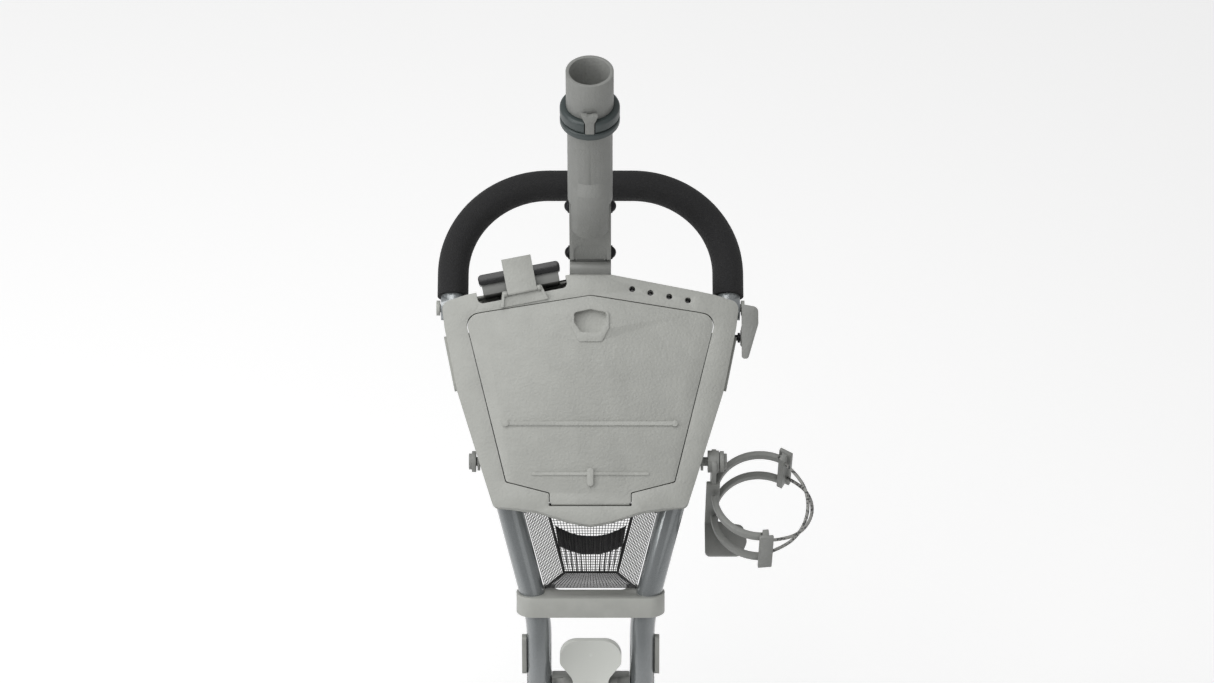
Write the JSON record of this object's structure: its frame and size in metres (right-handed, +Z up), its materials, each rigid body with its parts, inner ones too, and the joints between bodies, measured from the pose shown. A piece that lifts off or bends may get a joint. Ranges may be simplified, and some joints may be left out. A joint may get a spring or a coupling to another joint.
{
  "type": "golf push cart",
  "caption": "Folding golf push cart with a lidded console, padded handle, umbrella sleeve, drink ring, net pocket and bag rests.",
  "frame": {"origin": "on the ground, under the middle of the cart's bounding box", "axes": "+X to the cart's right as seen from its front wheel end, -Y to the front wheel, +Z up"},
  "size_m": [0.72, 0.927, 1.244],
  "materials": {
    "console_plastic": "pebbled matte",
    "mast_plastic": "pebbled matte",
    "pale_plastic": "satin",
    "collar_plastic": "satin",
    "black_plastic": "gloss",
    "frame_metal": "gloss gunmetal paint",
    "bright_metal": "satin",
    "foam": "pebbled foam",
    "net": "open mesh",
    "elastic": "gathered woven elastic",
    "cord": "flecked elastic cord",
    "fastener_steel": "black oxide",
    "pad_rubber": "soft matte",
    "wheel_plastic": "satin",
    "tyre_foam": "matte tread"
  },
  "bodies": {
    "lower_frame": {"lower_tube_left": "frame_metal", "lower_tube_right": "frame_metal", "lower_hinge_bracket": "mast_plastic", "hinge_pin": "bright_metal", "upper_bag_rest": "mast_plastic", "lower_bag_rest": "mast_plastic", "rest_pads": "pad_rubber", "yoke_bracket": "mast_plastic", "front_dropouts": "mast_plastic", "front_axle": "bright_metal"},
    "upper_frame": {"frame_tube_left": "frame_metal", "frame_tube_right": "frame_metal", "crossbar_band": "mast_plastic", "console_tray": "console_plastic", "console_bezel": "console_plastic", "console_screws": "fastener_steel", "tee_block": "console_plastic", "slot_liners": "black_plastic", "net_pocket": "net", "net_elastic": "elastic", "accessory_studs": "mast_plastic", "umbrella_foot": "mast_plastic", "upper_hinge_bracket": "mast_plastic", "strap_cleats": "mast_plastic", "scorecard_tray": "black_plastic", "scorecard_backing": "mast_plastic", "clip_base": "console_plastic", "lid_hinge_pin": "bright_metal", "handle_pivot_bolts": "fastener_steel", "brake_pivot_bolt": "fastener_steel", "latch_pin": "bright_metal"},
    "lid": {"lid_panel": "console_plastic", "lid_rib": "console_plastic"},
    "handle": {"handle_tube": "frame_metal", "grip_left": "foam", "grip_right": "foam"},
    "mast_arm": {"umbrella_arm": "mast_plastic", "foot_bolt": "fastener_steel", "knee_bolt": "fastener_steel"},
    "mast_tube": {"umbrella_tube": "mast_plastic"},
    "collar": {"clamp_collar": "collar_plastic", "clamp_tongue": "pale_plastic"},
    "clip": {"scorecard_clip": "pale_plastic"},
    "brake": {"brake_lever": "mast_plastic"},
    "drink_holder": {"drink_bracket": "mast_plastic", "drink_arm_rear": "mast_plastic", "drink_arm_front": "mast_plastic", "drink_cords": "cord"},
    "latch": {"latch_paddle": "pale_plastic"},
    "front_wheel": {"front_rim": "wheel_plastic", "front_tyre": "tyre_foam"},
    "rear_legs": {"yoke_shaft": "bright_metal", "leg_left": "frame_metal", "leg_right": "frame_metal", "rear_axles": "bright_metal"},
    "wheel_left": {"rim_left": "wheel_plastic", "tyre_left": "tyre_foam"},
    "wheel_right": {"rim_right": "wheel_plastic", "tyre_right": "tyre_foam"}
  },
  "joints": [
    {"name": "main_fold", "type": "hinge", "parent": "lower_frame", "child": "upper_frame", "pos_m": [0, 0.08341, 0.61508], "axis": [-1, 0, 0], "range_deg": [0, 110]},
    {"name": "leg_fold", "type": "hinge", "parent": "lower_frame", "child": "rear_legs", "pos_m": [0, 0.05062, 0.53112], "axis": [-1, 0, 0], "range_deg": [0, 50]},
    {"name": "front_wheel_spin", "type": "hinge", "parent": "lower_frame", "child": "front_wheel", "pos_m": [0, -0.3435, 0.12], "axis": [1, 0, 0], "continuous": true},
    {"name": "wheel_left_spin", "type": "hinge", "parent": "rear_legs", "child": "wheel_left", "pos_m": [-0.33, 0.3175, 0.146], "axis": [1, 0, 0], "continuous": true},
    {"name": "wheel_right_spin", "type": "hinge", "parent": "rear_legs", "child": "wheel_right", "pos_m": [0.33, 0.3175, 0.146], "axis": [1, 0, 0], "continuous": true},
    {"name": "handle_tilt", "type": "hinge", "parent": "upper_frame", "child": "handle", "pos_m": [0, 0.32733, 0.95779], "axis": [-1, 0, 0], "range_deg": [0, 45]},
    {"name": "lid_open", "type": "hinge", "parent": "upper_frame", "child": "lid", "pos_m": [0, 0.15701, 0.85581], "axis": [1, 0, 0], "range_deg": [0, 100]},
    {"name": "mast_foot_tilt", "type": "hinge", "parent": "upper_frame", "child": "mast_arm", "pos_m": [0, 0.3575, 1.006], "axis": [1, 0, 0], "range_deg": [-30, 8]},
    {"name": "mast_knee_tilt", "type": "hinge", "parent": "mast_arm", "child": "mast_tube", "pos_m": [0, 0.3575, 1.069], "axis": [-1, 0, 0], "range_deg": [0, 30]},
    {"name": "collar_twist", "type": "hinge", "parent": "mast_tube", "child": "collar", "pos_m": [0, 0.3575, 1.18], "axis": [0, 0, 1], "range_deg": [-20, 20]},
    {"name": "clip_lift", "type": "hinge", "parent": "upper_frame", "child": "clip", "pos_m": [-0.06757, 0.31831, 0.99084], "axis": [0.9818, 0.1497, 0.117], "range_deg": [0, 60], "stiffness_Nm_per_rad": 0.03, "springref_deg": -17.19},
    {"name": "brake_swing", "type": "hinge", "parent": "upper_frame", "child": "brake", "pos_m": [0, 0.30307, 0.94011], "axis": [1, 0, 0], "range_deg": [0, 30]},
    {"name": "drink_holder_swivel", "type": "hinge", "parent": "upper_frame", "child": "drink_holder", "pos_m": [0, 0.20475, 0.86455], "axis": [1, 0, 0], "range_deg": [-20, 20]},
    {"name": "latch_lift", "type": "hinge", "parent": "upper_frame", "child": "latch", "pos_m": [0, 0.08551, 0.65272], "axis": [1, 0, 0], "range_deg": [0, 35], "stiffness_Nm_per_rad": 0.08, "springref_deg": -17.19}
  ]
}
